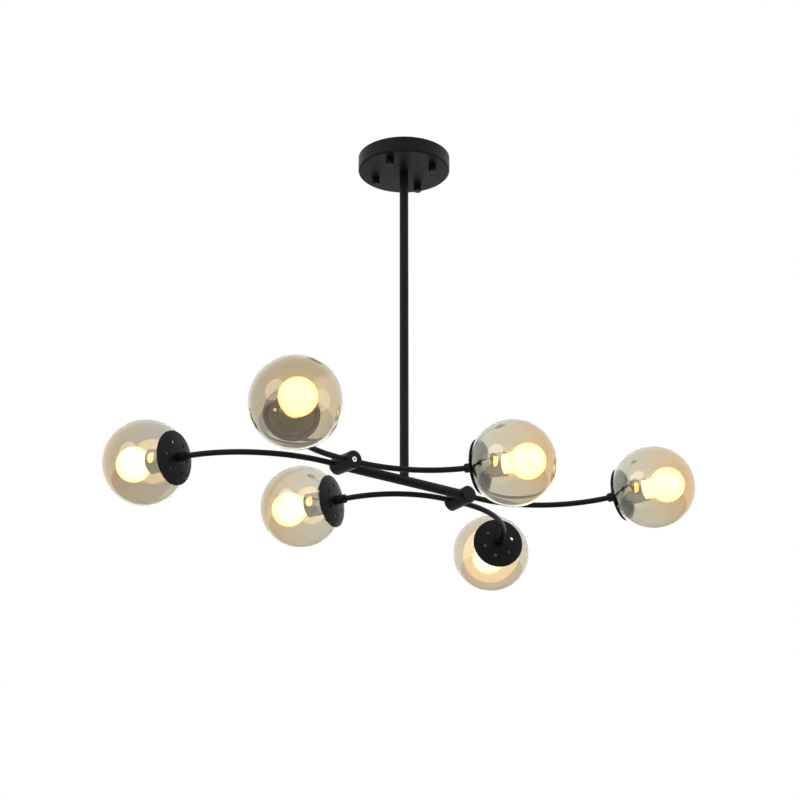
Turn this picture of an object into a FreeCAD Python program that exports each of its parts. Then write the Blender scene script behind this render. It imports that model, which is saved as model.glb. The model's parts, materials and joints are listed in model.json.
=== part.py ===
import FreeCAD, Part

import math
import os

from FreeCAD import Placement, Rotation, Vector

# Branch chandelier: a ceiling canopy, one straight stem, a cross bar, and at each end of
# the bar a branch of three bent arms that carry ball globes.
# Millimetres and degrees. The origin is the centre of the ceiling face, +Z is up, and the
# chandelier hangs below z = 0. The right branch is built first; the left one is the same
# branch turned half a turn about the stem.

# ---- canopy, bracket and their fixings ----
canopy_radius = 68.0
canopy_height = 23.2
canopy_wall = 1.2
canopy_edge_radius = 3.0
canopy_angle = 64.2            # direction of the first stud, seen from above
bracket_thickness = 2.0
bracket_disc_radius = 28.0
bracket_arm_width = 18.0
stud_circle_radius = 47.0
stud_radius = 2.0
stud_engagement = 7.5          # length of the stud inside its nut
stud_hole_clearance = 0.25
knob_radius = 5.75
knob_length = 10.0
knob_chamfer = 0.6
ceiling_hole_circle_radius = 36.0
ceiling_hole_radius = 2.6
supply_hole_radius = 8.0
terminal_length = 30.0
terminal_width = 14.0
terminal_height = 13.0
terminal_centre_radius = 20.0
terminal_poles = 3
terminal_base = 4.0
terminal_rib_share = 0.42      # rib radius over the pitch of the poles
terminal_wire_radius = 1.7
terminal_screw_radius = 1.6
terminal_screw_length = 1.8
terminal_screw_recess = 0.6
terminal_slot_width = 0.5
terminal_slot_depth = 0.6
earth_screw_radius = 2.0
earth_head_radius = 3.8
earth_head_height = 2.6
earth_washer_thickness = 0.8
earth_washer_margin = 1.0      # washer radius beyond the head
earth_cross_width = 0.9
earth_cross_depth = 1.4

# ---- stem and cross bar ----
stem_radius = 6.5
stem_wall = 1.5
bar_drop = 509.5               # ceiling to the axis of the cross bar
bar_radius = 7.0
bar_wall = 1.2
bar_angle = 36.6               # direction of the right half of the bar, seen from above
bar_depth_past_hub_axis = 0.6
nipple_wall = 1.25
nipple_depth_in_stem = 12.0
nipple_above_nut = 1.8
nut_height = 4.0
nut_across_flats = 14.0
flat_washer_thickness = 1.0
flat_washer_radius = 10.0
spring_washer_thickness = 1.6
spring_washer_radius = 8.3
spring_washer_split = 2.0

# ---- hubs ----
hub_distance = 110.4           # stem axis to hub axis, along the bar
hub_radius = 12.5
hub_length = 44.0
hub_chamfer = 0.8
port_spacing = 27.0            # bar axis to the axis of the end and inner arms
branch_tilt = 2.6              # turn of each branch about the bar, as it hangs
wire_bore_radius = 3.4
plug_radius = 4.0
plug_length = 4.0
plug_socket_across_flats = 4.0
plug_socket_depth = 2.5
plug_recess = 0.2
plug_chamfer = 0.4
set_screw_radius = 2.0
set_screw_length = 4.0
set_screw_offset = 4.0         # from the hub axis towards the stem
set_screw_socket_across_flats = 2.0
set_screw_socket_depth = 1.8
set_screw_chamfer = 0.3

# ---- arms: straight out of the hub, then one arc, then straight into the coupling ----
arm_radius = 4.0
arm_wall = 1.0
arm_root_gap = 4.5             # hub axis to the end of each arm inside the hub
arm_depth_in_coupling = 9.0
arc_start = {"outer": 24.6, "end": 14.6, "inner": 13.4}        # hub axis to the start of the bend
arc_radius = {"outer": 169.0, "end": 163.0, "inner": 142.0}
arc_turn = {"outer": 67.4, "end": 63.0, "inner": 62.0}

# ---- lamp heads: w runs along the lamp axis from the fitter's rim, towards the globe ----
fitter_radius = 38.0
fitter_rise = 7.0
fitter_wall = 1.2
fitter_flat_radius = 8.0
fitter_lip = 1.2               # the rim stands this far past w = 0
fitter_crown_drop = 0.6        # the crown meets the rim this far before w = 0
vent_circle_radius = 22.0
vent_radius = 2.5
vent_count = 6
vent_clock = {"outer": 0.0, "end": 44.0, "inner": 20.0}     # first vent from level, per lamp
coupling_radius = 6.5
coupling_length = 15.0
coupling_chamfer = 0.5
spigot_radius = 5.0
spigot_wall = 1.6
seat_washer_thickness = 0.8
seat_washer_radius = 8.0
lock_nut_height = 2.8
lock_nut_across_flats = 13.0
cup_radius = 17.0
cup_wall = 0.8
cup_flat_radius = 12.0         # the cup's floor is flat to here
cup_mouth = 38.0
cup_bead = 0.8
window_centre = 28.5
window_length = 10.0           # along the lamp axis
window_width = 15.0
core_top = 20.0
core_floor_top = 1.8
core_floor_thickness = 2.0
core_cavity_radius = 10.5
core_chamfer = 1.0
core_wire_radius = 1.5
core_wire_offset = 6.5
contact_chamfer = 0.3
contact_radius = 4.0
contact_thickness = 1.2
shell_bottom = 4.0
shell_length = 15.5
shell_wall = 0.65
plate_thickness = 0.8          # spring plate between the dish and the socket cup
ring_radius = 29.8
ring_top = 3.5
ring_slot_root = 1.0
finger_count = 3
finger_width = 14.0
finger_tip = 10.0
finger_draw = 1.0              # the tip stands this far inside the ring
finger_bulge = 0.45
finger_slot = 1.2
plate_hole_radius = 2.6        # one hole of the plate lies over one vent
plate_hole_step = {"outer": 1, "end": 2, "inner": 4}        # which vent it lies over

# ---- globes and bulbs ----
globe_radius = 60.0
globe_wall = 2.0
globe_finger_gap = 0.3034      # spring fingers to the globe's mouth, before they draw in
globe_edge = -0.3              # cut edge of the glass
bulb_cap_radius = 13.2
bulb_cap_top = 25.0
bulb_cap_wall = 0.6
bulb_neck_radius = 13.6
bulb_neck_fillet = 18.0
bulb_radius = 25.0
bulb_centre = 70.4
bulb_glass_wall = 2.0
bulb_neck_bottom = 19.0

# ---- clearances ----
snug_gap = 0.02                # pieces that are pressed, screwed or brazed together
running_gap = 0.06             # radial, where one piece turns or slides in another
rest_gap = 0.05                # faces that meet across a joint
core_gap = 0.3                 # porcelain core inside its metal cup
dish_gap = 0.2                 # spring plate over the crown of the dish

LAMPS = ("outer", "end", "inner")
SIDES = ("left", "right")
UP = Vector(0, 0, 1)


# ---------------------------------------------------------------- building blocks
class Outline:
    """A closed profile in the XZ plane, drawn point by point as (radius, height)."""

    def __init__(self, r, z):
        self.start = self.last = Vector(r, 0, z)
        self.edges = []

    def line(self, r, z):
        point = Vector(r, 0, z)
        self.edges.append(Part.LineSegment(self.last, point).toShape())
        self.last = point
        return self

    def arc(self, centre_r, centre_z, r, z):
        """The shorter arc about a centre; a half turn bulges away from the axis."""
        centre = Vector(centre_r, 0, centre_z)
        end = Vector(r, 0, z)
        middle = (self.last + end) * 0.5 - centre
        if middle.Length < 1e-6:
            middle = Vector(1, 0, 0)
        middle.normalize()
        through = centre + middle * (self.last - centre).Length
        self.edges.append(Part.Arc(self.last, through, end).toShape())
        self.last = end
        return self

    def face(self):
        if (self.last - self.start).Length > 1e-9:
            self.line(self.start.x, self.start.z)
        return Part.Face(Part.Wire(self.edges))

    def revolve(self, angle=360.0):
        return self.face().revolve(Vector(0, 0, 0), UP, angle)


def cylinder(radius, z0, z1, x=0.0, y=0.0):
    return Part.makeCylinder(radius, z1 - z0, Vector(x, y, z0), UP)


def rod(radius, start, direction, length):
    return Part.makeCylinder(radius, length, start, direction)


def tube(outer, inner, z0, z1):
    return cylinder(outer, z0, z1).cut(cylinder(inner, z0 - 1, z1 + 1))


def hexagon(across_flats, z0, z1):
    radius = across_flats / math.sqrt(3)
    corners = [Vector(radius * math.cos(math.radians(60 * i)),
                      radius * math.sin(math.radians(60 * i)), z0) for i in range(7)]
    return Part.Face(Part.makePolygon(corners)).extrude(Vector(0, 0, z1 - z0))


def chamfered(radius, z0, z1, chamfer):
    """A turned cylinder with both edges broken."""
    shape = Outline(0, z0).line(radius - chamfer, z0).line(radius, z0 + chamfer)
    return shape.line(radius, z1 - chamfer).line(radius - chamfer, z1).line(0, z1).revolve()


def spun(shape, angle):
    """A copy of the shape, turned about the Z axis."""
    copy = shape.copy()
    copy.rotate(Vector(0, 0, 0), UP, angle)
    return copy


def ring_of(shape, count, first=0.0):
    return [spun(shape, first + 360.0 * i / count) for i in range(count)]


def save(shapes, node):
    """Write one sub-part; a list becomes a group of solids in one file."""
    if not isinstance(shapes, (list, tuple)):
        shapes = [shapes]
    solids = [solid for shape in shapes for solid in shape.Solids]
    whole = solids[0] if len(solids) == 1 else Part.makeCompound(solids)
    whole.exportStep("parts/%s.step" % node)


# ---------------------------------------------------------------- ceiling group
def canopy_pan():
    r, h, t, e = canopy_radius, canopy_height, canopy_wall, canopy_edge_radius
    pan = Outline(0, -h).line(r - e, -h).arc(r - e, e - h, r, e - h).line(r, 0)
    pan.line(r - t, 0).line(r - t, e - h).arc(r - e, e - h, r - e, t - h).line(0, t - h)
    pan = pan.revolve()
    pan = pan.cut(cylinder(spigot_radius + running_gap, -h - 1, t - h + 1))
    stud_hole = cylinder(stud_radius + stud_hole_clearance, -h - 1, t - h + 1, stud_circle_radius)
    return pan.cut(Part.makeCompound(ring_of(stud_hole, 4, canopy_angle)))


def ceiling_bracket():
    """Pressed steel cross plate: a disc with four arms that carry the studs."""
    t = bracket_thickness
    plate = cylinder(bracket_disc_radius, -t, 0)
    half = bracket_arm_width / 2
    arm = Part.makeBox(stud_circle_radius, bracket_arm_width, t, Vector(0, -half, -t))
    arm = arm.fuse(cylinder(half, -t, 0, stud_circle_radius))
    plate = plate.fuse(ring_of(arm, 4, canopy_angle)).removeSplitter()
    holes = ring_of(cylinder(stud_radius + snug_gap, -t - 1, 1, stud_circle_radius), 4, canopy_angle)
    holes += ring_of(cylinder(ceiling_hole_radius, -t - 1, 1, ceiling_hole_circle_radius),
                     4, canopy_angle)
    holes.append(cylinder(supply_hole_radius, -t - 1, 1))
    holes.append(spun(cylinder(earth_screw_radius + snug_gap, -t - 1, 1, terminal_centre_radius),
                      canopy_angle - 135))
    return plate.cut(Part.makeCompound(holes))


def bracket_studs():
    stud = cylinder(stud_radius, -canopy_height - stud_engagement, 0, stud_circle_radius)
    return ring_of(stud, 4, canopy_angle)


def knob_nuts():
    top = -canopy_height
    nut = chamfered(knob_radius, top - knob_length, top, knob_chamfer)
    nut = nut.cut(cylinder(stud_radius + snug_gap, top - stud_engagement - 0.5, top + 1))
    nut.translate(Vector(stud_circle_radius, 0, 0))
    return ring_of(nut, 4, canopy_angle)


def terminal_places():
    """Centres of the poles along the terminal block."""
    pitch = terminal_length / terminal_poles
    return [(i - (terminal_poles - 1) / 2) * pitch for i in range(terminal_poles)]


def terminal_screw_places():
    return [(terminal_centre_radius + side * terminal_width / 4, along)
            for along in terminal_places() for side in (-1, 1)]


def terminal_block():
    """Moulded block under the bracket: a rounded rib, two screws and a wire hole per pole."""
    top = -bracket_thickness
    low = top - terminal_height
    inner = terminal_centre_radius - terminal_width / 2
    pitch = terminal_length / terminal_poles
    block = Part.makeBox(terminal_width, terminal_length, terminal_base,
                         Vector(inner, -terminal_length / 2, top - terminal_base))
    rib_radius = pitch * terminal_rib_share
    for along in terminal_places():
        rib = Part.makeBox(terminal_width, 2 * rib_radius, terminal_height - rib_radius,
                           Vector(inner, along - rib_radius, low + rib_radius))
        rib = rib.fuse(rod(rib_radius, Vector(inner, along, low + rib_radius), Vector(1, 0, 0),
                           terminal_width))
        block = block.fuse(rib)
    block = block.removeSplitter()
    for along in terminal_places():
        block = block.cut(rod(terminal_wire_radius, Vector(inner - 1, along, low + rib_radius),
                              Vector(1, 0, 0), terminal_width + 2))
    for x, y in terminal_screw_places():
        block = block.cut(cylinder(terminal_screw_radius, low - 1, low + rib_radius, x, y))
    return spun(block, canopy_angle - 45)


def terminal_screws():
    low = -bracket_thickness - terminal_height + terminal_screw_recess
    screw = cylinder(terminal_screw_radius - snug_gap, low, low + terminal_screw_length)
    reach, half = terminal_screw_radius + 1, terminal_slot_width / 2
    slot = Part.makeBox(2 * reach, 2 * half, terminal_slot_depth + 1, Vector(-reach, -half, low - 1))
    screw = screw.cut(slot)
    screws = []
    for x, y in terminal_screw_places():
        one = screw.copy()
        one.translate(Vector(x, y, 0))
        screws.append(spun(one, canopy_angle - 45))
    return screws


def earth_screw():
    under = -bracket_thickness
    seat = under - earth_washer_thickness
    low = seat - earth_head_height
    washer = cylinder(earth_head_radius + earth_washer_margin, seat, under)
    head = cylinder(earth_head_radius, low, seat)
    long, wide = earth_head_radius * 1.3, earth_cross_width
    cross = [Part.makeBox(long, wide, earth_cross_depth + 1, Vector(-long / 2, -wide / 2, low - 1))]
    cross.append(spun(cross[0], 90))
    screw = washer.fuse([head, cylinder(earth_screw_radius, under - 1, 0)])
    screw = screw.removeSplitter().cut(Part.makeCompound(cross))
    screw.translate(Vector(terminal_centre_radius, 0, 0))
    return spun(screw, canopy_angle - 135)


# ---------------------------------------------------------------- stem and bar
stem_top = -canopy_height - rest_gap
washer_bottom = canopy_wall - canopy_height + rest_gap
nut_bottom = washer_bottom + flat_washer_thickness + spring_washer_thickness
nipple_top = nut_bottom + nut_height + nipple_above_nut
nipple_radius = stem_radius - stem_wall - snug_gap


def bar_frame(shape):
    """Place a shape drawn with the bar along X and the bar axis at z = 0."""
    copy = shape.copy()
    copy.Placement = Placement(Vector(0, 0, -bar_drop), Rotation(UP, bar_angle)).multiply(copy.Placement)
    return copy


def stem_tube():
    """Tube whose foot is coped to sit on the round bar."""
    stem = tube(stem_radius, stem_radius - stem_wall, -bar_drop, stem_top)
    reach = 2 * stem_radius
    cope = rod(bar_radius + snug_gap, Vector(-reach, 0, 0), Vector(1, 0, 0), 2 * reach)
    return stem.cut(bar_frame(cope))


def stem_nipple():
    return tube(nipple_radius, nipple_radius - nipple_wall, stem_top - nipple_depth_in_stem, nipple_top)


def stem_lock_hardware():
    bore = nipple_radius + snug_gap
    z = washer_bottom
    flat = tube(flat_washer_radius, bore, z, z + flat_washer_thickness)
    z += flat_washer_thickness
    spring = tube(spring_washer_radius, bore, z, z + spring_washer_thickness)
    spring = spring.cut(Part.makeBox(spring_washer_radius + 1, spring_washer_split,
                                     spring_washer_thickness + 2,
                                     Vector(0, -spring_washer_split / 2, z - 1)))
    z += spring_washer_thickness
    nut = hexagon(nut_across_flats, z, z + nut_height).cut(cylinder(bore, z - 1, z + nut_height + 1))
    return [flat, spring, nut]


def cross_bar():
    reach = hub_distance + bar_depth_past_hub_axis
    bar = rod(bar_radius, Vector(-reach, 0, 0), Vector(1, 0, 0), 2 * reach)
    bar = bar.cut(rod(bar_radius - bar_wall, Vector(-reach - 1, 0, 0), Vector(1, 0, 0), 2 * reach + 2))
    bar = bar.cut(cylinder(nipple_radius - nipple_wall, 0, bar_radius + 1))
    return bar_frame(bar)


# ---------------------------------------------------------------- branches
def branch_frame(shape, side):
    """From the branch's own axes (X along the bar, Y across, Z up) to the chandelier's."""
    copy = shape.copy()
    turn = bar_angle + (180 if side == "left" else 0)
    lean = Rotation(Vector(1, 0, 0), -branch_tilt)
    place = Placement(Vector(0, 0, -bar_drop), Rotation(UP, turn).multiply(lean))
    copy.Placement = place.multiply(copy.Placement)
    return copy


def hub():
    """Turned cylinder across the bar: four ports, a wire bore and two tapped holes."""
    d = hub_distance
    low = port_spacing / 2 - hub_length / 2
    body = chamfered(hub_radius, low, low + hub_length, hub_chamfer)
    body.rotate(Vector(0, 0, 0), Vector(1, 0, 0), -90)
    body.translate(Vector(d, 0, 0))
    outward = Vector(1, 0, 0)
    arm_bore = arm_radius + snug_gap
    cuts = [
        rod(bar_radius + running_gap, Vector(d - 2 * hub_radius, 0, 0), outward,
            2 * hub_radius + bar_depth_past_hub_axis + core_gap),
        rod(arm_bore, Vector(d + arm_root_gap, 0, 0), outward, 2 * hub_radius),
        rod(arm_bore, Vector(d + arm_root_gap, port_spacing, 0), outward, 2 * hub_radius),
        rod(arm_bore, Vector(d - arm_root_gap, port_spacing, 0), Vector(-1, 0, 0), 2 * hub_radius),
        rod(wire_bore_radius, Vector(d, 0, 0), outward, arm_root_gap + 1),
        rod(wire_bore_radius, Vector(d - arm_root_gap - 1, port_spacing, 0), outward,
            2 * arm_root_gap + 2),
        rod(wire_bore_radius, Vector(d, 0, 0), Vector(0, 1, 0), hub_length),
        rod(plug_radius + snug_gap, Vector(d, low + hub_length - plug_length - plug_recess, 0),
            Vector(0, 1, 0), hub_length),
        cylinder(set_screw_radius + snug_gap, 0, 2 * hub_radius, d - set_screw_offset),
    ]
    return body.cut(Part.makeCompound(cuts))


def hub_screws():
    """The plug that closes the wire bore, and the set screw that bears on the bar."""
    end = port_spacing / 2 + hub_length / 2 - plug_recess
    plug = chamfered(plug_radius, -plug_length, 0, plug_chamfer)
    plug = plug.cut(hexagon(plug_socket_across_flats, -plug_socket_depth, 1))
    plug.rotate(Vector(0, 0, 0), Vector(1, 0, 0), -90)
    plug.translate(Vector(hub_distance, end, 0))
    tip = bar_radius + running_gap
    screw = chamfered(set_screw_radius, tip, tip + set_screw_length, set_screw_chamfer)
    top = tip + set_screw_length
    screw = screw.cut(hexagon(set_screw_socket_across_flats, top - set_screw_socket_depth, top + 1))
    screw.translate(Vector(hub_distance - set_screw_offset, 0, 0))
    return [plug, screw]


class ArmRoute:
    """Centreline of one arm in the branch's axes: root, arc centre and the lamp's axis."""

    def __init__(self, lamp):
        self.out = -1 if lamp == "inner" else 1       # leaves the hub towards or away from the stem
        self.bend = -1 if lamp == "outer" else 1      # bends to this side of the bar
        self.y = 0.0 if lamp == "outer" else port_spacing
        self.root_x = hub_distance + self.out * arm_root_gap
        self.arc_x = hub_distance + self.out * arc_start[lamp]
        self.radius = arc_radius[lamp]
        self.turn = arc_turn[lamp]
        a = math.radians(self.turn)
        self.centre = Vector(self.arc_x, self.y + self.bend * self.radius, 0)
        self.tip = Vector(self.arc_x + self.out * self.radius * math.sin(a),
                          self.y + self.bend * self.radius * (1 - math.cos(a)), 0)
        self.axis = Vector(self.out * math.cos(a), self.bend * math.sin(a), 0)

    def sense(self):
        """Turning sense of the arc about +Z."""
        return self.out * self.bend


def arm(lamp):
    """Bent tube: straight root, arc, and a straight end that sits in the coupling."""
    route = ArmRoute(lamp)
    outward = Vector(route.out, 0, 0)
    root = Vector(route.root_x, route.y, 0)
    start = Vector(route.arc_x, route.y, 0)
    section = []
    for radius in (arm_radius, arm_radius - arm_wall):
        straight = rod(radius, root, outward, (start - root).Length)
        disc = Part.Face(Part.Wire(Part.makeCircle(radius, start, outward)))
        bend = disc.revolve(route.centre, Vector(0, 0, route.sense()), route.turn)
        last = rod(radius, route.tip, route.axis, arm_depth_in_coupling)
        section.append(straight.fuse([bend, last]).removeSplitter())
    return section[0].cut(section[1])


def head_frame(shape, lamp):
    """From the lamp head's axes (Z along w, X level) to the branch's axes."""
    route = ArmRoute(lamp)
    copy = shape.copy()
    rim = route.tip + route.axis * (coupling_length + fitter_rise)
    level = UP.cross(route.axis)
    turn = Rotation(level, UP, route.axis, "ZXY")
    copy.Placement = Placement(rim, turn).multiply(copy.Placement)
    return copy


# ---------------------------------------------------------------- lamp heads
def crown(offset):
    """Centre height and radius of the fitter's spherical crown, moved inwards by offset."""
    rise = fitter_rise - fitter_crown_drop
    inner, outer = fitter_flat_radius, fitter_radius
    total = (outer ** 2 - inner ** 2) / rise
    top = (total + rise) / 2
    radius = math.hypot(top, inner)
    return top - fitter_rise, radius - offset


def crown_height(r, offset=0.0):
    centre, radius = crown(offset)
    return centre - math.sqrt(radius ** 2 - r ** 2)


seat = fitter_wall - fitter_rise
cup_bottom = seat + plate_thickness + seat_washer_thickness
spigot_top = cup_bottom + cup_wall + lock_nut_height


def fitter(lamp):
    """Spun dome with a flat seat, a short lip and a circle of vents."""
    flat, lip, t = fitter_flat_radius, fitter_lip, fitter_wall
    centre, _ = crown(0)
    inner_rim = fitter_radius - t
    low_flat = crown_height(flat, t)
    dome = Outline(0, -fitter_rise).line(flat, -fitter_rise)
    dome.arc(0, centre, fitter_radius, -fitter_crown_drop).line(fitter_radius, lip)
    dome.line(inner_rim, lip).line(inner_rim, crown_height(inner_rim, t))
    dome.arc(0, centre, flat, low_flat).line(flat, t - fitter_rise).line(0, t - fitter_rise)
    dome = dome.revolve()
    holes = ring_of(cylinder(vent_radius, -fitter_rise - 1, 2, vent_circle_radius), vent_count,
                    vent_clock[lamp])
    holes.append(cylinder(spigot_radius + snug_gap, -fitter_rise - 1, 2))
    return dome.cut(Part.makeCompound(holes))


def coupling():
    """Collar with a threaded spigot, the washer under the socket cup and the lock nut."""
    bottom = -fitter_rise - coupling_length
    collar = chamfered(coupling_radius, bottom, -fitter_rise, coupling_chamfer)
    collar = collar.fuse(cylinder(spigot_radius, -fitter_rise - 1, spigot_top)).removeSplitter()
    collar = collar.cut(cylinder(arm_radius + snug_gap, bottom - 1,
                                 bottom + arm_depth_in_coupling + rest_gap))
    collar = collar.cut(cylinder(spigot_radius - spigot_wall, bottom, spigot_top + 1))
    bore = spigot_radius + snug_gap
    washer = tube(seat_washer_radius, bore, cup_bottom - seat_washer_thickness, cup_bottom)
    nut_base = cup_bottom + cup_wall
    nut = hexagon(lock_nut_across_flats, nut_base, nut_base + lock_nut_height)
    return [collar, washer, nut.cut(cylinder(bore, nut_base - 1, nut_base + lock_nut_height + 1))]


def window():
    """Cutter for the two round-ended windows, level on both sides of the cup."""
    end = window_length / 2
    half = window_width / 2 - end
    reach = cup_radius + 1
    slot = Part.makeBox(2 * reach, 2 * half, window_length, Vector(-reach, -half, window_centre - end))
    for side in (-half, half):
        slot = slot.fuse(rod(end, Vector(-reach, side, window_centre), Vector(1, 0, 0), 2 * reach))
    return slot.removeSplitter()


def socket_cup():
    """Drawn metal cup round the lampholder, with a beaded mouth and two windows."""
    r, t, c = cup_radius, cup_wall, cup_radius - cup_flat_radius
    low, top = cup_bottom, cup_mouth
    cup = Outline(0, low).line(r - c, low).arc(r - c, low + c, r, low + c)
    cup.line(r, top - 2 * cup_bead).arc(r, top - cup_bead, r, top)
    cup.line(r - t, top).line(r - t, low + c).arc(r - c, low + c, r - c, low + t).line(0, low + t)
    cup = cup.revolve()
    cup = cup.cut(cylinder(spigot_radius + snug_gap, low - 1, low + t + 1))
    return cup.cut(window())


def socket_core():
    """Porcelain core: it sits in the cup over the lock nut and holds the brass shell."""
    low = cup_bottom + cup_wall
    r = cup_radius - cup_wall - core_gap
    c = cup_radius - cup_flat_radius
    nut_room = lock_nut_across_flats / math.sqrt(3) + 1.2
    shell_radius = bulb_cap_radius + running_gap + shell_wall
    core = Outline(nut_room, low).line(r + core_gap + cup_wall - c, low)
    core.line(r, low + c - core_gap).line(r, core_top - core_chamfer).line(r - core_chamfer, core_top)
    core.line(shell_radius + snug_gap, core_top).line(shell_radius + snug_gap, shell_bottom)
    core.line(core_cavity_radius, shell_bottom).line(core_cavity_radius, core_floor_top)
    core.line(0, core_floor_top).line(0, core_floor_top - core_floor_thickness)
    core.line(nut_room, core_floor_top - core_floor_thickness)
    core = core.revolve()
    wire = cylinder(core_wire_radius, low - 1, core_floor_top + 1, core_wire_offset)
    return core.cut(Part.makeCompound(ring_of(wire, 2, 90)))


def socket_contacts():
    """Brass screw shell and the centre contact on the core's floor."""
    inner = bulb_cap_radius + running_gap
    shell = tube(inner + shell_wall, inner, shell_bottom, shell_bottom + shell_length)
    contact = chamfered(contact_radius, core_floor_top, core_floor_top + contact_thickness,
                        contact_chamfer)
    return [shell, contact]


def spring_plate(lamp):
    """Dished plate clamped under the socket cup: its rim turns up into a ring with three leaf
    fingers that press on the glass edge, and one hole lies over a vent of the dish."""
    r, t = ring_radius, plate_thickness
    flat = fitter_flat_radius
    under, over = fitter_wall + dish_gap, fitter_wall + dish_gap + t
    centre, _ = crown(0)
    plate = Outline(0, seat).line(flat, seat).line(flat, crown_height(flat, under))
    plate.arc(0, centre, r, crown_height(r, under)).line(r, ring_top).line(r - t, ring_top)
    plate.line(r - t, crown_height(r - t, over)).arc(0, centre, flat, crown_height(flat, over))
    plate = plate.line(flat, seat + t).line(0, seat + t).revolve()
    half = math.degrees(finger_width / 2 / r)
    gap = math.degrees(finger_slot / r)
    peak = (ring_top + finger_tip) / 2
    slot = Outline(r - t - 1, ring_slot_root).line(r + 1, ring_slot_root).line(r + 1, ring_top + 1)
    slot = slot.line(r - t - 1, ring_top + 1).revolve(gap)
    tip = r - finger_draw
    leaf = Outline(r - t, ring_top).line(r, ring_top).line(r + finger_bulge, peak).line(tip, finger_tip)
    leaf = leaf.line(tip - t, finger_tip).line(r + finger_bulge - t, peak).revolve(2 * half)
    cuts = [cylinder(spigot_radius + snug_gap, seat - 1, seat + t + 1)]
    hole = cylinder(plate_hole_radius, -fitter_rise, ring_top, vent_circle_radius)
    cuts.append(spun(hole, vent_clock[lamp] + plate_hole_step[lamp] * 360.0 / vent_count))
    for i in range(finger_count):
        middle = 270 + 360.0 * i / finger_count
        cuts += [spun(slot, middle - half - gap), spun(slot, middle + half)]
    leaves = ring_of(leaf, finger_count, 270 - half)
    return plate.cut(Part.makeCompound(cuts)).fuse(leaves).removeSplitter()


# ---------------------------------------------------------------- globes and bulbs
def globe():
    """Blown glass ball, cut off flat where it enters the fitter."""
    outer, inner = globe_radius, globe_radius - globe_wall
    inner_edge = ring_radius + finger_bulge + globe_finger_gap
    drop = math.sqrt(inner ** 2 - inner_edge ** 2)
    outer_edge = math.sqrt(outer ** 2 - drop ** 2)
    globe_centre = globe_edge + drop
    ball = Outline(outer_edge, globe_edge).arc(0, globe_centre, outer, globe_centre)
    ball.arc(0, globe_centre, 0, globe_centre + outer).line(0, globe_centre + inner)
    ball.arc(0, globe_centre, inner, globe_centre).arc(0, globe_centre, inner_edge, globe_edge)
    return ball.revolve()


def bulb_glass():
    """Opal ball bulb: a neck that flares into the ball through a fillet."""
    neck, fillet, ball = bulb_neck_radius, bulb_neck_fillet, bulb_radius
    t = bulb_glass_wall
    fillet_r = neck + fillet
    fillet_z = bulb_centre - math.sqrt((ball + fillet) ** 2 - fillet_r ** 2)

    def touch(radius):
        share = radius / (ball + fillet)
        return fillet_r * share, bulb_centre - (bulb_centre - fillet_z) * share

    in_cap = bulb_cap_radius - bulb_cap_wall - snug_gap
    glass = Outline(in_cap, bulb_neck_bottom).line(in_cap, bulb_cap_top).line(neck, bulb_cap_top)
    glass.line(neck, fillet_z).arc(fillet_r, fillet_z, *touch(ball))
    glass.arc(0, bulb_centre, ball, bulb_centre).arc(0, bulb_centre, 0, bulb_centre + ball)
    glass.line(0, bulb_centre + ball - t).arc(0, bulb_centre, ball - t, bulb_centre)
    glass.arc(0, bulb_centre, *touch(ball - t)).arc(fillet_r, fillet_z, neck - t, fillet_z)
    glass.line(neck - t, bulb_neck_bottom)
    return glass.revolve()


def bulb_cap():
    """Brass screw cap with its insulator cone and contact button, cemented round the neck."""
    r, t = bulb_cap_radius, bulb_cap_wall
    tip = core_floor_top + contact_thickness + rest_gap
    cap = Outline(0, tip).line(4.2, tip).line(4.8, tip + 0.5).line(8.6, tip + 1.3)
    cap.line(r - 0.8, tip + 2.6).line(r, tip + 3.4).line(r, bulb_cap_top).line(r - t, bulb_cap_top)
    cap.line(r - t, tip + 4.2).line(0, tip + 4.2)
    return cap.revolve()


# ---------------------------------------------------------------- export
def save_ceiling_and_stem():
    save(canopy_pan(), "canopy_pan")
    save(ceiling_bracket(), "ceiling_bracket")
    save(bracket_studs(), "bracket_studs")
    save(knob_nuts(), "canopy_knob_nuts")
    save(terminal_block(), "terminal_block")
    save(terminal_screws(), "terminal_screws")
    save(earth_screw(), "earth_screw")
    save(stem_tube(), "stem_tube")
    save(stem_nipple(), "stem_nipple")
    save(stem_lock_hardware(), "stem_lock_hardware")
    save(cross_bar(), "cross_bar")


def save_branches():
    head_single = {"socket_cup": socket_cup(), "globe": globe(), "bulb": bulb_glass(),
                   "bulb_cap": bulb_cap()}
    head_group = {"arm_couplings": coupling(), "socket_contacts": socket_contacts(),
                  "socket_cores": [socket_core()]}
    hub_shape, screws = hub(), hub_screws()
    arms = {lamp: arm(lamp) for lamp in LAMPS}
    for side in SIDES:
        save(branch_frame(hub_shape, side), side + "_hub")
        save([branch_frame(screw, side) for screw in screws], side + "_hub_screws")
        for lamp in LAMPS:
            save(branch_frame(arms[lamp], side), "%s_%s_arm" % (side, lamp))
            dish = branch_frame(head_frame(fitter(lamp), lamp), side)
            save(dish, "%s_%s_fitter" % (side, lamp))
            for name, shape in head_single.items():
                placed = branch_frame(head_frame(shape, lamp), side)
                save(placed, "%s_%s_%s" % (side, lamp, name))
        for name, shapes in head_group.items():
            placed = [branch_frame(head_frame(shape, lamp), side) for lamp in LAMPS for shape in shapes]
            save(placed, "%s_%s" % (side, name))
        plates = [branch_frame(head_frame(spring_plate(lamp), lamp), side) for lamp in LAMPS]
        save(plates, side + "_shade_rings")


os.makedirs("parts", exist_ok=True)
save_ceiling_and_stem()
save_branches()
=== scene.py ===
import json
import math

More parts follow.
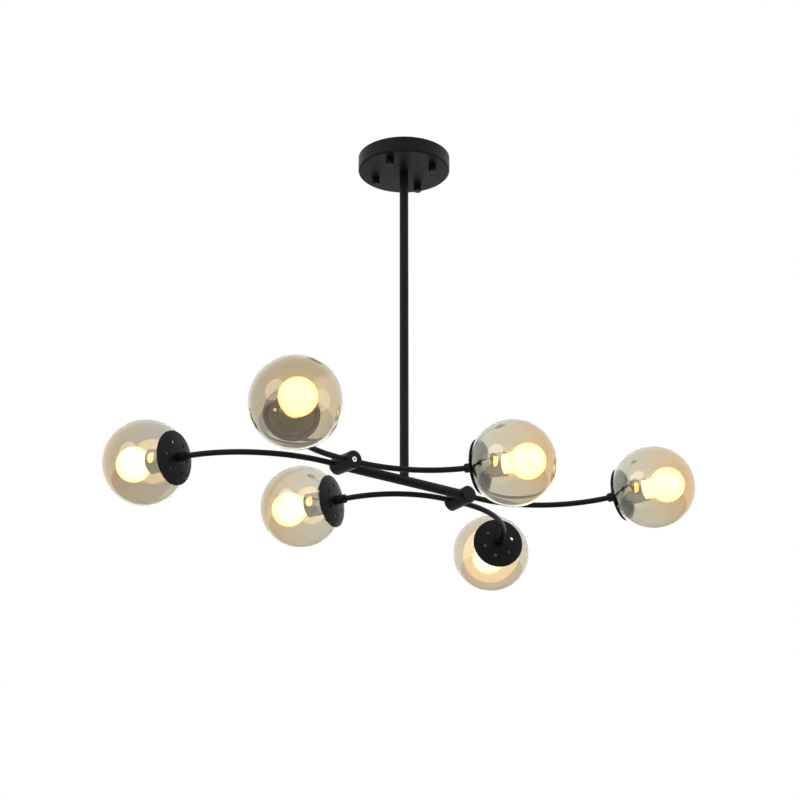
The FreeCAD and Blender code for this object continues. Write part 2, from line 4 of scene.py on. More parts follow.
import bpy
import numpy as np
from bpy.props import FloatProperty, FloatVectorProperty, IntProperty, PointerProperty
from bpy.types import Operator, Panel, PropertyGroup
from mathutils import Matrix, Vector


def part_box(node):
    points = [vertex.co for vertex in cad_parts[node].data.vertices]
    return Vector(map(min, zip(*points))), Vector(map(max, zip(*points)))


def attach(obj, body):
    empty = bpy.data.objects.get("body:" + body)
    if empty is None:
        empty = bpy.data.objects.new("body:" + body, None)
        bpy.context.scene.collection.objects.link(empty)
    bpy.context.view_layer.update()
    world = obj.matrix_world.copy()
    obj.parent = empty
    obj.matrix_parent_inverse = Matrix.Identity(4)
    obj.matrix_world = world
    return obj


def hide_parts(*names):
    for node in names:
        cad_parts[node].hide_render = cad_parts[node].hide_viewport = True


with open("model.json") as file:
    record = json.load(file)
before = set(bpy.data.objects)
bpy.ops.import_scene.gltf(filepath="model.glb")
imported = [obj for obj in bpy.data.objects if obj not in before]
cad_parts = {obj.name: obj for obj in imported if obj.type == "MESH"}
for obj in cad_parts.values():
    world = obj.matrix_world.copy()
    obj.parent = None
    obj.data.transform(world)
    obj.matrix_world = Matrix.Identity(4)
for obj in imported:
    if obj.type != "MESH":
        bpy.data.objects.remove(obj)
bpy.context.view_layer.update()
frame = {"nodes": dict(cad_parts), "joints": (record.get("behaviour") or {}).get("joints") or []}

bl_info = {
    "name": "Branch chandelier",
    "version": (1, 0, 0),
    "blender": (4, 5, 0),
    "location": "3D View > Sidebar > Chandelier",
    "description": "Glass balls, lit bulbs, threads and finishes for a six-lamp branch chandelier",
    "category": "Object",
}

SIDES = ("left", "right")
LAMPS = ("outer", "end", "inner")
HEADS = [(side, lamp) for side in SIDES for lamp in LAMPS]
THREAD_STEPS = 10       # rings of points for each pitch of a thread
BALL_STEPS = 97         # points from the far pole of a ball to its cut edge
BULB_STEPS = 65         # points from the far pole of a bulb to its waist
WAIST_STEPS = 25
BULB_SEGMENTS = 96
EDGE_SINK = 0.9         # the rounded edge of a ball is set this share of its radius past the cut
FLOOR_REACH = 8.0       # half the width of the floor, in metres
FLOOR_CELLS = 8
LIGHT_TARGET = (0.0, 0.0, -0.42)
BUMP_DEPTH = 0.0002     # height of the grain in the coats, in metres


# ------------------------------------------------------------------ numpy surfaces
def unit(vector):
    vector = np.asarray(vector, dtype=float)
    return vector / np.linalg.norm(vector)


def lamp_axis(side, lamp):
    """Direction from the dish to the far end of the glass ball, as its pull-off slide has it."""
    name = "%s_%s_globe_pull" % (side, lamp)
    return unit(next(joint["axis"] for joint in frame["joints"] if joint["name"] == name))


def ball_centre(side, lamp, radius):
    """The ball's box always reaches a full radius from the centre on the side that the lamp
    axis points to, on each of X, Y and Z, because the cut is at the other end."""
    low, high = (np.array(corner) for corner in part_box("%s_%s_globe" % (side, lamp)))
    return np.where(lamp_axis(side, lamp) > 0, high - radius, low + radius)


def head_axes(side, lamp):
    """Rim centre of the dish and the head's own axes: level, up and along the lamp."""
    sizes = bpy.context.scene.chandelier_glass
    along = lamp_axis(side, lamp)
    level = unit(np.cross((0.0, 0.0, 1.0), along))
    rim = ball_centre(side, lamp, sizes.ball_radius) - along * sizes.ball_centre
    return rim, np.stack((level, np.cross(along, level), along))


def arc(centre_r, centre_z, radius, start, end, count):
    """Points of a circle about (centre_r, centre_z): r = centre + radius * sin(angle),
    z = centre + radius * cos(angle), with the angle in degrees from the +Z axis."""
    angle = np.radians(np.linspace(start, end, count))
    return np.stack((centre_r + radius * np.sin(angle), centre_z + radius * np.cos(angle)), axis=1)


def polyline(points, step):
    """Straight runs between the points, divided evenly into pieces no longer than step."""
    runs = []
    for first, last in zip(points[:-1], points[1:]):
        first, last = np.asarray(first, float), np.asarray(last, float)
        count = max(1, int(math.ceil(np.linalg.norm(last - first) / step)))
        runs.append(first + (last - first) * np.linspace(0, 1, count, endpoint=False)[:, None])
    return np.concatenate(runs + [np.asarray(points[-1], float)[None, :]])


def grid_faces(rows, columns, wrap_rows=False):
    """Quads of a grid whose columns close on themselves; wrap_rows closes the rows as well."""
    row = np.arange(rows if wrap_rows else rows - 1)[:, None]
    column = np.arange(columns)[None, :]
    below, above = row * columns, ((row + 1) % rows) * columns
    right = (column + 1) % columns
    faces = np.stack((below + column, above + column, above + right, below + right), axis=-1)
    return faces.reshape(-1, 4)


def turned(profile, segments):
    """Surface of revolution P(i, j) = (r_i cos t_j, r_i sin t_j, z_i), with t_j the j-th equal
    share of a full turn. A profile whose two ends lie on the axis closes in two poles; any
    other profile is a closed loop, and the last ring joins the first."""
    profile = np.asarray(profile, float)
    poles = abs(profile[0, 0]) < 1e-9 and abs(profile[-1, 0]) < 1e-9
    rings = profile[1:-1] if poles else profile
    turn = np.linspace(0, 2 * math.pi, segments, endpoint=False)
    x = rings[:, :1] * np.cos(turn)
    y = rings[:, :1] * np.sin(turn)
    z = np.repeat(rings[:, 1:], segments, axis=1)
    points = np.stack((x, y, z), axis=-1).reshape(-1, 3)
    quads = grid_faces(len(rings), segments, wrap_rows=not poles)
    fans = np.zeros((0, 3), int)
    if poles:
        first, last = len(points), len(points) + 1
        points = np.concatenate((points, [[0, 0, profile[0, 1]], [0, 0, profile[-1, 1]]]))
        here = np.arange(segments)
        there = (here + 1) % segments
        base = (len(rings) - 1) * segments
        fans = np.concatenate((np.stack((np.full(segments, first), here, there), axis=1),
                               np.stack((np.full(segments, last), base + there, base + here), axis=1)))
    return points, quads, fans


def threaded(radius, depth, pitch, length, bore, segments):
    """Screw surface on a grid of turn t and height z: r = radius - depth * (0.5 - 0.5 cos of the
    full turn times (z / pitch - t)), cut to its full depth over half a pitch at both ends, closed
    by flat ends on an inner wall of radius bore, or on the axis where bore is 0."""
    steps = int(math.ceil(length / pitch * THREAD_STEPS)) + 1
    z = np.linspace(0, length, steps)
    t = np.linspace(0, 1, segments, endpoint=False)
    fade = np.clip(np.minimum(z, length - z) / (0.5 * pitch), 0, 1)[:, None]
    wave = 0.5 - 0.5 * np.cos(2 * math.pi * (z[:, None] / pitch - t[None, :]))
    r = radius - depth * (1 - fade) - depth * fade * wave
    angle = 2 * math.pi * t
    outer = np.stack((r * np.cos(angle), r * np.sin(angle), np.repeat(z[:, None], segments, 1)), -1)
    rings = [outer]
    if bore > 0:
        wall = np.stack((bore * np.cos(angle), bore * np.sin(angle), np.zeros(segments)), -1)
        rings += [(wall + (0, 0, length))[None], wall[None]]
        points = np.concatenate(rings).reshape(-1, 3)
        return points, grid_faces(steps + 2, segments, wrap_rows=True)[:, ::-1], np.zeros((0, 3), int)
    points = np.concatenate((outer.reshape(-1, 3), [[0, 0, 0], [0, 0, length]]))
    here = np.arange(segments)
    there = (here + 1) % segments
    top = (steps - 1) * segments
    low, high = len(points) - 2, len(points) - 1
    fans = np.concatenate((np.stack((np.full(segments, low), there, here), 1),
                           np.stack((np.full(segments, high), top + here, top + there), 1)))
    return points, grid_faces(steps, segments)[:, ::-1], fans


def placed(points, origin, axes):
    """Points of a head's own axes, in the chandelier's: origin + x*level + y*up + z*along."""
    return np.asarray(origin) + np.asarray(points) @ np.asarray(axes)


def mesh_object(name, points, quads, fans=(), uv=None):
    """One smooth mesh object at the world origin; uv gives one pair for each vertex."""
    quads = np.asarray(quads, int).reshape(-1, 4)
    fans = np.asarray(fans, int).reshape(-1, 3)
    loops = np.concatenate((quads.ravel(), fans.ravel()))
    totals = np.concatenate((np.full(len(quads), 4), np.full(len(fans), 3)))
    starts = np.concatenate(([0], np.cumsum(totals)[:-1]))
    mesh = bpy.data.meshes.new(name)
    mesh.vertices.add(len(points))
    mesh.vertices.foreach_set("co", np.asarray(points, np.float32).ravel())
    mesh.loops.add(len(loops))
    mesh.loops.foreach_set("vertex_index", loops.astype(np.int32))
    mesh.polygons.add(len(totals))
    mesh.polygons.foreach_set("loop_start", starts.astype(np.int32))
    mesh.polygons.foreach_set("use_smooth", np.ones(len(totals), bool))
    if uv is not None:
        layer = mesh.uv_layers.new(name="UVMap")
        layer.data.foreach_set("uv", np.asarray(uv, np.float32)[loops].ravel())
    mesh.update(calc_edges=True)
    mesh.validate()
    piece = bpy.data.objects.new(name, mesh)
    bpy.context.scene.collection.objects.link(piece)
    return piece


# ------------------------------------------------------------------ node helpers
def new_material(name, **sockets):
    """A material with one Principled shader, whose plain values are set by socket name."""
    material = bpy.data.materials.new(name)
    material.use_nodes = True
    tree = material.node_tree
    shader = tree.nodes["Principled BSDF"]
    for socket, value in sockets.items():
        shader.inputs[socket.replace("_", " ")].default_value = value
    return material, tree, shader


def add(tree, kind, x=0, y=0, **values):
    node = tree.nodes.new(kind)
    node.location = (x, y)
    for key, value in values.items():
        if hasattr(node, key):
            setattr(node, key, value)
        else:
            node.inputs[key.replace("_", " ")].default_value = value
    return node


def grain_group():
    """Fine orange-peel grain and soft blotches: a Height for Bump, and a Shade mask that changes
    slowly over the surface. Used by every coated, cast and moulded finish."""
    found = bpy.data.node_groups.get("Surface grain")
    if found:
        return found
    group = bpy.data.node_groups.new("Surface grain", "ShaderNodeTree")
    face = group.interface
    for name, value in (("Fine scale", 900.0), ("Blotch scale", 25.0)):
        socket = face.new_socket(name=name, in_out="INPUT", socket_type="NodeSocketFloat")
        socket.default_value = value
    face.new_socket(name="Height", in_out="OUTPUT", socket_type="NodeSocketFloat")
    face.new_socket(name="Shade", in_out="OUTPUT", socket_type="NodeSocketFloat")
    source = add(group, "NodeGroupInput", -700)
    sink = add(group, "NodeGroupOutput", 400)
    place = add(group, "ShaderNodeTexCoord", -700, 250)
    fine = add(group, "ShaderNodeTexNoise", -400, 200, Detail=3.0, Roughness=0.55)
    blotch = add(group, "ShaderNodeTexNoise", -400, -150, Detail=4.0, Roughness=0.6)
    spread = add(group, "ShaderNodeMapRange", 0, -150, From_Min=0.3, From_Max=0.7)
    group.links.new(place.outputs["Object"], fine.inputs["Vector"])
    group.links.new(place.outputs["Object"], blotch.inputs["Vector"])
    group.links.new(source.outputs["Fine scale"], fine.inputs["Scale"])
    group.links.new(source.outputs["Blotch scale"], blotch.inputs["Scale"])
    group.links.new(blotch.outputs["Fac"], spread.inputs["Value"])
    group.links.new(fine.outputs["Fac"], sink.inputs["Height"])
    group.links.new(spread.outputs["Result"], sink.inputs["Shade"])
    return group


def grained(tree, shader, fine, blotch, bump, rough, colours=None):
    """Joins the grain group to a shader: bump height, a roughness range and a colour range."""
    grain = add(tree, "ShaderNodeGroup", -900)
    grain.node_tree = grain_group()
    grain.inputs["Fine scale"].default_value = fine
    grain.inputs["Blotch scale"].default_value = blotch
    lift = add(tree, "ShaderNodeBump", -300, -300, Strength=bump, Distance=BUMP_DEPTH)
    tree.links.new(grain.outputs["Height"], lift.inputs["Height"])
    tree.links.new(lift.outputs["Normal"], shader.inputs["Normal"])
    span = add(tree, "ShaderNodeMapRange", -300, -80, To_Min=rough[0], To_Max=rough[1])
    tree.links.new(grain.outputs["Shade"], span.inputs["Value"])
    tree.links.new(span.outputs["Result"], shader.inputs["Roughness"])
    if colours:
        ramp = add(tree, "ShaderNodeValToRGB", -600, 200)
        ramp.color_ramp.elements[0].color = (*colours[0], 1)
        ramp.color_ramp.elements[1].color = (*colours[1], 1)
        tree.links.new(grain.outputs["Shade"], ramp.inputs["Fac"])
        tree.links.new(ramp.outputs["Color"], shader.inputs["Base Color"])
    return grain


def shades(colour, spread=0.12):
    """A slightly darker and a slightly lighter tone of one colour."""
    colour = np.array(colour)
    return tuple(colour * (1 - spread)), tuple(np.minimum(colour * (1 + spread), 1.0))


# ------------------------------------------------------------------ materials
def black_coat():
    """Satin black powder coat: fine orange peel, soft uneven sheen."""
    look = bpy.context.scene.chandelier_metal
    material, tree, shader = new_material("satin_black_coat", Specular_IOR_Level=look.coat_gloss)
    grained(tree, shader, 1400.0, 18.0, 0.25, (0.36, 0.46), shades(look.coat_colour, 0.15))
    return material


def dish_coat():
    """The same black coat on the spun dishes and the pan, a little coarser and duller."""
    look = bpy.context.scene.chandelier_metal
    material, tree, shader = new_material("spun_black_coat", Specular_IOR_Level=look.coat_gloss)
    grained(tree, shader, 1100.0, 12.0, 0.3, (0.4, 0.52), shades(look.coat_colour, 0.2))
    return material


def plain_metal(name, colour, rough, fine=500.0, bump=0.12, gloss=0.5):
    material, tree, shader = new_material(name, Metallic=1.0, Specular_IOR_Level=gloss)
    grained(tree, shader, fine, 40.0, bump, rough, shades(colour, 0.08))
    return material


def moulded(name, colour, rough, fine=700.0, bump=0.1):
    material, tree, shader = new_material(name)
    grained(tree, shader, fine, 30.0, bump, rough, shades(colour, 0.04))
    return material


def ball_glass():
    """Thin coated glass: grey-green by the dish, champagne at the far end, half mirror."""
    look = bpy.context.scene.chandelier_glass
    material, tree, shader = new_material(
        "champagne_glass", Metallic=look.mirror, Transmission_Weight=1.0, IOR=1.46,
        Roughness=0.0)
    place = add(tree, "ShaderNodeTexCoord", -1100)
    split = add(tree, "ShaderNodeSeparateXYZ", -900)
    ramp = add(tree, "ShaderNodeValToRGB", -600)
    ramp.color_ramp.elements[0].position = 0.3
    ramp.color_ramp.elements[0].color = (*look.tint_near, 1)
    ramp.color_ramp.elements[1].position = 0.95
    ramp.color_ramp.elements[1].color = (*look.tint_far, 1)
    tree.links.new(place.outputs["UV"], split.inputs["Vector"])
    tree.links.new(split.outputs["Y"], ramp.inputs["Fac"])
    tree.links.new(ramp.outputs["Color"], shader.inputs["Base Color"])
    return material


def lit_opal():
    """Lit opal glass: white where it faces out, honey at its edges and towards the neck."""
    look = bpy.context.scene.chandelier_glass
    material, tree, shader = new_material(
        "lit_opal_glass", Base_Color=(1.0, 0.95, 0.86, 1), Roughness=0.25,
        Emission_Strength=look.glow_strength)
    edge = add(tree, "ShaderNodeLayerWeight", -1000, -200, Blend=0.35)
    place = add(tree, "ShaderNodeTexCoord", -1300, 150)
    split = add(tree, "ShaderNodeSeparateXYZ", -1100, 150)
    neck = add(tree, "ShaderNodeMapRange", -900, 150, From_Min=0.5, From_Max=0.28)
    both = add(tree, "ShaderNodeMath", -650, 0, operation="MAXIMUM")
    ramp = add(tree, "ShaderNodeValToRGB", -450)
    ramp.color_ramp.elements[0].position = 0.1
    ramp.color_ramp.elements[0].color = (*look.glow_core, 1)
    ramp.color_ramp.elements[1].position = 0.85
    ramp.color_ramp.elements[1].color = (*look.glow_edge, 1)
    tree.links.new(place.outputs["UV"], split.inputs["Vector"])
    tree.links.new(split.outputs["Y"], neck.inputs["Value"])
    tree.links.new(neck.outputs["Result"], both.inputs[0])
    tree.links.new(edge.outputs["Facing"], both.inputs[1])
    tree.links.new(both.outputs["Value"], ramp.inputs["Fac"])
    tree.links.new(ramp.outputs["Color"], shader.inputs["Emission Color"])
    return material


def finish(node, material):
    piece = frame["nodes"][node]
    for slot in piece.material_slots:
        slot.material = material


def kept(name, maker):
    """A material by name, made once."""
    return bpy.data.materials.get(name) or maker()


# ------------------------------------------------------------------ settings
class ChandelierMetal(PropertyGroup):
    coat_colour: FloatVectorProperty(
        name="Coat colour", description="Black powder coat on all outside metal", subtype="COLOR",
        size=3, min=0, max=1, default=(0.0035, 0.0035, 0.0037))
    coat_gloss: FloatProperty(
        name="Coat gloss", description="Mirror strength of the coat", subtype="FACTOR", min=0,
        max=1, default=0.16)
    nickel_colour: FloatVectorProperty(
        name="Nickel colour", description="Lampholder cups and hub plugs", subtype="COLOR", size=3,
        min=0, max=1, default=(0.4, 0.42, 0.45))
    plug_colour: FloatVectorProperty(
        name="Plug colour", description="Screw plugs of the hubs", subtype="COLOR", size=3,
        min=0, max=1, default=(0.72, 0.7, 0.62))
    spring_colour: FloatVectorProperty(
        name="Spring plate colour", description="Grey plates that line the dishes",
        subtype="COLOR", size=3, min=0, max=1, default=(0.1, 0.1, 0.105))
    brass_colour: FloatVectorProperty(
        name="Brass colour", description="Caps, shells, contacts and screws", subtype="COLOR",
        size=3, min=0, max=1, default=(0.78, 0.6, 0.3))
    stud_circle: FloatProperty(
        name="Stud circle", description="Radius of the circle of the bracket studs",
        subtype="DISTANCE", unit="LENGTH", min=0.02, max=0.08, default=0.047)
    stud_clock: FloatProperty(
        name="Stud direction", description="Direction of the first stud, seen from above",
        subtype="ANGLE", unit="ROTATION", min=0, max=math.pi, default=math.radians(64.2))
    stud_radius: FloatProperty(
        name="Stud radius", description="Outside of the stud thread", subtype="DISTANCE",
        unit="LENGTH", min=0.001, max=0.004, default=0.002)
    stud_pitch: FloatProperty(
        name="Stud pitch", description="Thread pitch of the bracket studs", subtype="DISTANCE",
        unit="LENGTH", min=0.0003, max=0.002, default=0.0007)
    nipple_pitch: FloatProperty(
        name="Nipple pitch", description="Thread pitch of the stem's nipple", subtype="DISTANCE",
        unit="LENGTH", min=0.0005, max=0.002, default=0.001)
    nipple_wall: FloatProperty(
        name="Nipple wall", description="Crest of the nipple's thread to its bore",
        subtype="DISTANCE", unit="LENGTH", min=0.0008, max=0.003, default=0.00125)


class ChandelierGlass(PropertyGroup):
    ball_radius: FloatProperty(
        name="Ball radius", description="Outside of the glass ball", subtype="DISTANCE",
        unit="LENGTH", min=0.03, max=0.15, default=0.06)
    ball_wall: FloatProperty(
        name="Ball wall", description="Thickness of the glass", subtype="DISTANCE", unit="LENGTH",
        min=0.001, max=0.004, default=0.002)
    ball_centre: FloatProperty(
        name="Ball centre", description="Rim of the dish to the centre of the ball",
        subtype="DISTANCE", unit="LENGTH", min=0.02, max=0.1, default=0.049)
    ball_edge: FloatProperty(
        name="Ball edge", description="Cut edge of the glass below the rim", subtype="DISTANCE",
        unit="LENGTH", min=-0.005, max=0.005, default=-0.0003)
    bulb_radius: FloatProperty(
        name="Bulb radius", description="Outside of the ball bulb", subtype="DISTANCE",
        unit="LENGTH", min=0.015, max=0.04, default=0.025)
    bulb_centre: FloatProperty(
        name="Bulb centre", description="Rim of the dish to the centre of the bulb",
        subtype="DISTANCE", unit="LENGTH", min=0.05, max=0.09, default=0.0704)
    bulb_neck: FloatProperty(
        name="Bulb neck", description="Radius of the bulb's neck", subtype="DISTANCE",
        unit="LENGTH", min=0.01, max=0.015, default=0.0136)
    bulb_fillet: FloatProperty(
        name="Bulb fillet", description="Radius between neck and ball", subtype="DISTANCE",
        unit="LENGTH", min=0.005, max=0.03, default=0.018)
    bulb_foot: FloatProperty(
        name="Bulb foot", description="Rim of the dish to the glass's end in the cap",
        subtype="DISTANCE", unit="LENGTH", min=0.01, max=0.024, default=0.019)
    bulb_cap_top: FloatProperty(
        name="Cap top", description="Rim of the dish to the cap's open end", subtype="DISTANCE",
        unit="LENGTH", min=0.02, max=0.03, default=0.025)
    bulb_cap_bore: FloatProperty(
        name="Cap bore", description="Radius of the glass inside the cap", subtype="DISTANCE",
        unit="LENGTH", min=0.01, max=0.0134, default=0.01258)
    mirror: FloatProperty(
        name="Mirror", description="Share of mirror in the glass coating", subtype="FACTOR",
        min=0, max=1, default=0.16)
    tint_near: FloatVectorProperty(
        name="Tint by the dish", description="Glass colour near the dish", subtype="COLOR",
        size=3, min=0, max=1, default=(0.71, 0.7, 0.62))
    tint_far: FloatVectorProperty(
        name="Tint at the far end", description="Glass colour at the far end", subtype="COLOR",
        size=3, min=0, max=1, default=(0.78, 0.63, 0.43))
    glow_core: FloatVectorProperty(
        name="Glow core", description="Bulb colour facing out", subtype="COLOR", size=3, min=0,
        max=1, default=(1.0, 0.93, 0.66))
    glow_edge: FloatVectorProperty(
        name="Glow edge", description="Bulb colour at its edge and neck", subtype="COLOR",
        size=3, min=0, max=1, default=(1.0, 0.5, 0.1))
    glow_strength: FloatProperty(
        name="Glow strength", description="Emission of the bulbs", min=0, max=10, default=2.9)


class ChandelierStage(PropertyGroup):
    floor_height: FloatProperty(
        name="Floor height", description="Floor below the ceiling face", subtype="DISTANCE",
        unit="LENGTH", min=-4, max=-1, default=-2.4)
    floor_colour: FloatVectorProperty(
        name="Floor colour", description="Pale plain floor", subtype="COLOR", size=3, min=0,
        max=1, default=(0.82, 0.82, 0.82))
    fill: FloatProperty(
        name="Fill", description="Light from all round on the object", min=0, max=2, default=0.6)
    lens: FloatProperty(
        name="Lens", description="Focal length on a 36 mm frame", subtype="DISTANCE_CAMERA",
        min=20, max=200, default=89.41)
    camera_place: FloatVectorProperty(
        name="Camera place", description="Eye point", subtype="TRANSLATION", size=3,
        default=(-0.00592, -2.63966, -1.41884))
    camera_tilt: FloatProperty(
        name="Camera tilt", description="Turn of the camera from straight down",
        subtype="ANGLE", unit="ROTATION", min=0, max=math.pi, default=math.radians(111.33))
    segments: IntProperty(
        name="Segments", description="Steps round a turned surface", min=24, max=256, default=128)


# ------------------------------------------------------------------ operators
class CHANDELIER_OT_metal(Operator):
    """Black coat on the pan, stem, bar, hubs, arms, collars and dishes"""
    bl_idname = "chandelier.metal"
    bl_label = "Coat the metal"

    def execute(self, context):
        coat = kept("satin_black_coat", black_coat)
        dish = kept("spun_black_coat", dish_coat)
        for node in ("stem_tube", "cross_bar", "canopy_knob_nuts"):
            finish(node, coat)
        finish("canopy_pan", dish)
        for side in SIDES:
            finish(side + "_hub", coat)
            finish(side + "_arm_couplings", coat)
        for side, lamp in HEADS:
            finish("%s_%s_arm" % (side, lamp), coat)
            finish("%s_%s_fitter" % (side, lamp), dish)
        return {"FINISHED"}


class CHANDELIER_OT_fixings(Operator):
    """Zinc, nickel, brass, porcelain and nylon on the small pieces"""
    bl_idname = "chandelier.fixings"
    bl_label = "Finish the fixings"

    def execute(self, context):
        look = context.scene.chandelier_metal
        zinc = plain_metal("bright_zinc", (0.62, 0.63, 0.65), (0.28, 0.42), 600.0, 0.15)
        nickel = plain_metal("satin_nickel", look.nickel_colour, (0.16, 0.28), 300.0, 0.05)
        spring = plain_metal("grey_spring_steel", look.spring_colour, (0.34, 0.46), 300.0, 0.05)
        plug = plain_metal("nickel_plug", look.plug_colour, (0.2, 0.3), 300.0, 0.05)
        brass = plain_metal("rolled_brass", look.brass_colour, (0.22, 0.36), 400.0, 0.08)
        porcelain = moulded("glazed_porcelain", (0.86, 0.85, 0.8), (0.1, 0.2), 200.0, 0.05)
        nylon = moulded("terminal_nylon", (0.78, 0.78, 0.73), (0.4, 0.55))
        for node in ("ceiling_bracket", "stem_lock_hardware"):
            finish(node, zinc)
        for node in ("terminal_screws", "earth_screw"):
            finish(node, brass)
        finish("terminal_block", nylon)
        for side in SIDES:
            finish(side + "_hub_screws", plug)
            finish(side + "_socket_contacts", brass)
            finish(side + "_socket_cores", porcelain)
            finish(side + "_shade_rings", spring)
        for side, lamp in HEADS:
            finish("%s_%s_socket_cup" % (side, lamp), nickel)
        return {"FINISHED"}


class CHANDELIER_OT_threads(Operator):
    """Screw threads on the bracket's studs and on the stem's nipple"""
    bl_idname = "chandelier.threads"
    bl_label = "Cut the threads"

    def execute(self, context):
        look = context.scene.chandelier_metal
        zinc = bpy.data.materials["bright_zinc"]
        low, high = (np.array(corner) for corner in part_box("bracket_studs"))
        reach = look.stud_circle
        shape, faces, ends = threaded(look.stud_radius, look.stud_pitch / 2, look.stud_pitch,
                                      high[2] - low[2], 0, 32)
        points, quads, fans = [], [], []
        for stud in range(4):
            angle = look.stud_clock + stud * math.pi / 2
            points.append(shape + (reach * math.cos(angle), reach * math.sin(angle), low[2]))
            quads.append(faces + stud * len(shape))
            fans.append(ends + stud * len(shape))
        studs = mesh_object("stud_threads", np.concatenate(points), np.concatenate(quads),
                            np.concatenate(fans))
        studs.data.materials.append(zinc)
        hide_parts("bracket_studs")
        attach(studs, "canopy")
        low, high = (np.array(corner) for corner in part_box("stem_nipple"))
        outer = (high[0] - low[0]) / 2
        shape, faces, ends = threaded(outer, look.nipple_pitch / 2, look.nipple_pitch,
                                      high[2] - low[2], outer - look.nipple_wall, 64)
        nipple = mesh_object("nipple_thread", shape + (0, 0, low[2]), faces, ends)
        nipple.data.materials.append(zinc)
        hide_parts("stem_nipple")
        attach(nipple, "stem")
        return {"FINISHED"}


class CHANDELIER_OT_balls(Operator):
    """Glass balls with a rounded cut edge, tinted from the dish to the far end"""
    bl_idname = "chandelier.balls"
    bl_label = "Blow the glass balls"

    def execute(self, context):
        sizes = context.scene.chandelier_glass
        glass = kept("champagne_glass", ball_glass)
        outer, inner = sizes.ball_radius, sizes.ball_radius - sizes.ball_wall
        lip = sizes.ball_wall / 2
        middle = outer - lip
        drop = sizes.ball_centre - sizes.ball_edge - lip * EDGE_SINK
        close = 180 - math.degrees(math.asin(min(1.0, math.sqrt(middle ** 2 - drop ** 2) / middle)))
        lip_r = middle * math.sin(math.radians(close))
        lip_z = sizes.ball_centre + middle * math.cos(math.radians(close))
        wall_out = arc(0, sizes.ball_centre, outer, 0, close, BALL_STEPS)
        edge = arc(lip_r, lip_z, lip, close, close + 180, 9)[1:-1]
        wall_in = arc(0, sizes.ball_centre, inner, close, 0, BALL_STEPS)
        profile = np.concatenate((wall_out, edge, wall_in))
        profile[[0, -1], 0] = 0
        points, quads, fans = turned(profile, context.scene.chandelier_stage.segments)
        height = (points[:, 2] - sizes.ball_edge) / (sizes.ball_centre + outer - sizes.ball_edge)
        turn = np.arctan2(points[:, 1], points[:, 0]) / (2 * math.pi) + 0.5
        uv = np.stack((turn, np.clip(height, 0, 1)), axis=1)
        for side, lamp in HEADS:
            node = "%s_%s_globe" % (side, lamp)
            ball = mesh_object(node + "_glass", placed(points, *head_axes(side, lamp)), quads, fans, uv)
            ball.data.materials.append(glass)
            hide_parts(node)
            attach(ball, node)
        return {"FINISHED"}


class CHANDELIER_OT_bulbs(Operator):
    """Lit opal ball bulbs and their screw caps"""
    bl_idname = "chandelier.bulbs"
    bl_label = "Fit the bulbs"

    def execute(self, context):
        sizes = context.scene.chandelier_glass
        opal = kept("lit_opal_glass", lit_opal)
        brass = bpy.data.materials["rolled_brass"]
        ball, neck, fillet = sizes.bulb_radius, sizes.bulb_neck, sizes.bulb_fillet
        waist_r = neck + fillet
        waist_z = sizes.bulb_centre - math.sqrt((ball + fillet) ** 2 - waist_r ** 2)
        touch = math.degrees(math.atan2(waist_r, waist_z - sizes.bulb_centre))
        low, top = sizes.bulb_foot, sizes.bulb_cap_top
        inside = sizes.bulb_cap_bore
        foot = [(0.0, low), (inside, low), (inside, top), (neck, top), (neck, waist_z)]
        profile = np.concatenate((
            arc(0, sizes.bulb_centre, ball, 0, touch, BULB_STEPS),
            arc(waist_r, waist_z, fillet, touch - 180, -90, WAIST_STEPS)[1:-1],
            polyline(foot, 0.002)[::-1]))
        profile[[0, -1], 0] = 0
        points, quads, fans = turned(profile, BULB_SEGMENTS)
        height = points[:, 2] / (sizes.bulb_centre + ball)
        turn = np.arctan2(points[:, 1], points[:, 0]) / (2 * math.pi) + 0.5
        uv = np.stack((turn, height), axis=1)
        for side, lamp in HEADS:
            node = "%s_%s_bulb" % (side, lamp)
            origin, axes = head_axes(side, lamp)
            bulb = mesh_object(node + "_glow", placed(points, origin, axes), quads, fans, uv)
            bulb.data.materials.append(opal)
            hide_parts(node)
            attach(bulb, node)
            finish(node + "_cap", brass)
        return {"FINISHED"}


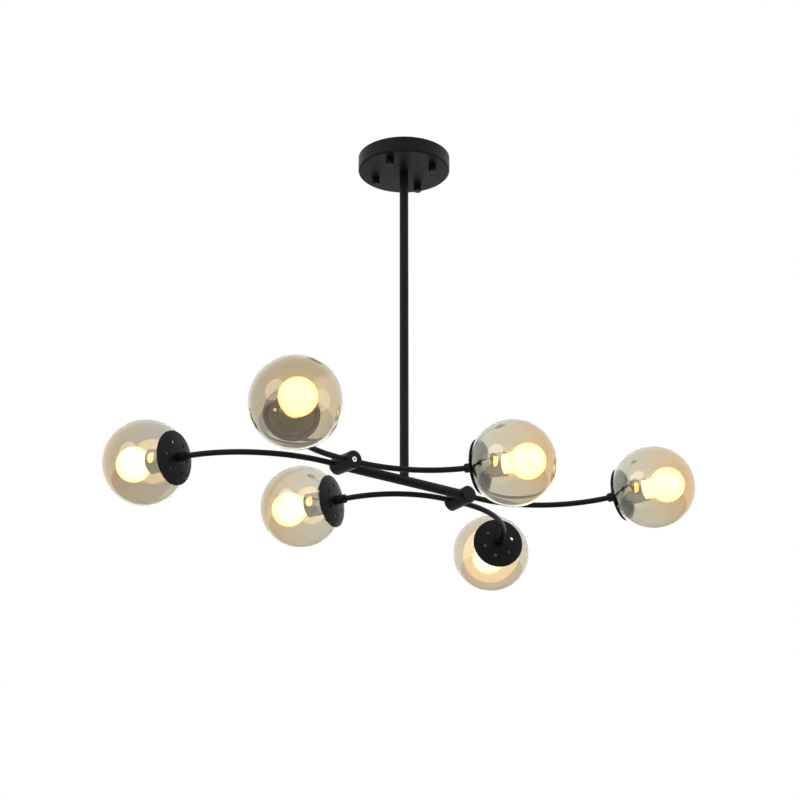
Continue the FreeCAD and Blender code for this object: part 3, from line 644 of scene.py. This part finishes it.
class CHANDELIER_OT_stage(Operator):
    """Pale floor, soft light, white surroundings and the camera"""
    bl_idname = "chandelier.stage"
    bl_label = "Set the stage"

    def execute(self, context):
        stage = context.scene.chandelier_stage
        scene = context.scene
        row = FLOOR_CELLS + 1
        along = np.linspace(-FLOOR_REACH, FLOOR_REACH, row)
        x, y = np.meshgrid(along, along, indexing="ij")
        points = np.stack((x, y, np.full_like(x, stage.floor_height)), -1).reshape(-1, 3)
        cell = (np.arange(FLOOR_CELLS)[:, None] * row + np.arange(FLOOR_CELLS)[None, :]).ravel()
        quads = np.stack((cell, cell + row, cell + row + 1, cell + 1), axis=1)
        floor = mesh_object("floor", points, quads)
        material, tree, shader = new_material("pale_floor", Roughness=0.9, Specular_IOR_Level=0.1)
        shader.inputs["Base Color"].default_value = (*stage.floor_colour, 1)
        floor.data.materials.append(material)

        world = bpy.data.worlds.new("studio")
        scene.world = world
        world.use_nodes = True
        tree = world.node_tree
        back = tree.nodes["Background"]
        back.inputs["Color"].default_value = (1, 1, 1, 1)
        rays = add(tree, "ShaderNodeLightPath", -900)
        seen = add(tree, "ShaderNodeMath", -650, operation="MAXIMUM")
        also = add(tree, "ShaderNodeMath", -450, operation="MAXIMUM")
        level = add(tree, "ShaderNodeMapRange", -250, To_Min=stage.fill, To_Max=1.0)
        tree.links.new(rays.outputs["Is Camera Ray"], seen.inputs[0])
        tree.links.new(rays.outputs["Is Glossy Ray"], seen.inputs[1])
        tree.links.new(seen.outputs["Value"], also.inputs[0])
        tree.links.new(rays.outputs["Is Transmission Ray"], also.inputs[1])
        tree.links.new(also.outputs["Value"], level.inputs["Value"])
        tree.links.new(level.outputs["Result"], back.inputs["Strength"])

        lamps = (("key", (-2.2, -2.0, 0.2), 2.4, 12.0), ("side", (2.4, -1.2, -0.6), 2.2, 7.0),
                 ("back", (0.5, 2.6, -0.2), 2.4, 8.0))
        for name, place, size, power in lamps:
            light = bpy.data.lights.new(name, "AREA")
            light.shape = "DISK"
            light.size = size
            light.energy = power
            lamp = bpy.data.objects.new(name, light)
            scene.collection.objects.link(lamp)
            back_way = unit(np.subtract(place, LIGHT_TARGET))
            side_way = unit(np.cross((0, 0, 1), back_way))
            turn = np.stack((side_way, np.cross(back_way, side_way), back_way), axis=1)
            matrix = np.eye(4)
            matrix[:3, :3] = turn
            matrix[:3, 3] = place
            lamp.matrix_world = [tuple(column) for column in matrix.T]

        view = bpy.data.cameras.new("camera")
        view.lens = stage.lens
        view.sensor_width = 36.0
        view.clip_end = 50.0
        camera = bpy.data.objects.new("camera", view)
        scene.collection.objects.link(camera)
        camera.location = stage.camera_place
        camera.rotation_euler = (stage.camera_tilt, 0, 0)
        scene.camera = camera
        scene.view_settings.view_transform = "Standard"
        return {"FINISHED"}


class CHANDELIER_PT_panel(Panel):
    """Shows the sizes and colours that may be changed, and a button for each step that builds the
    chandelier
    """
    bl_idname = "CHANDELIER_PT_panel"
    bl_label = "Branch chandelier"
    bl_space_type = "VIEW_3D"
    bl_region_type = "UI"
    bl_category = "Chandelier"

    def draw(self, context):
        for group in ("chandelier_metal", "chandelier_glass", "chandelier_stage"):
            box = self.layout.box()
            settings = getattr(context.scene, group)
            for name in settings.__annotations__:
                box.prop(settings, name)
        for operator in OPERATORS:
            self.layout.operator(operator.bl_idname)


GROUPS = (ChandelierMetal, ChandelierGlass, ChandelierStage)
OPERATORS = (CHANDELIER_OT_metal, CHANDELIER_OT_fixings, CHANDELIER_OT_threads,
             CHANDELIER_OT_balls, CHANDELIER_OT_bulbs, CHANDELIER_OT_stage)
CLASSES = GROUPS + OPERATORS + (CHANDELIER_PT_panel,)


def register():
    for item in CLASSES:
        bpy.utils.register_class(item)
    bpy.types.Scene.chandelier_metal = PointerProperty(type=ChandelierMetal)
    bpy.types.Scene.chandelier_glass = PointerProperty(type=ChandelierGlass)
    bpy.types.Scene.chandelier_stage = PointerProperty(type=ChandelierStage)


def unregister():
    del bpy.types.Scene.chandelier_stage
    del bpy.types.Scene.chandelier_glass
    del bpy.types.Scene.chandelier_metal
    for item in reversed(CLASSES):
        bpy.utils.unregister_class(item)


def main():
    register()
    bpy.ops.chandelier.metal()
    bpy.ops.chandelier.fixings()
    bpy.ops.chandelier.threads()
    bpy.ops.chandelier.balls()
    bpy.ops.chandelier.bulbs()
    bpy.ops.chandelier.stage()


if __name__ == "__main__":
    main()
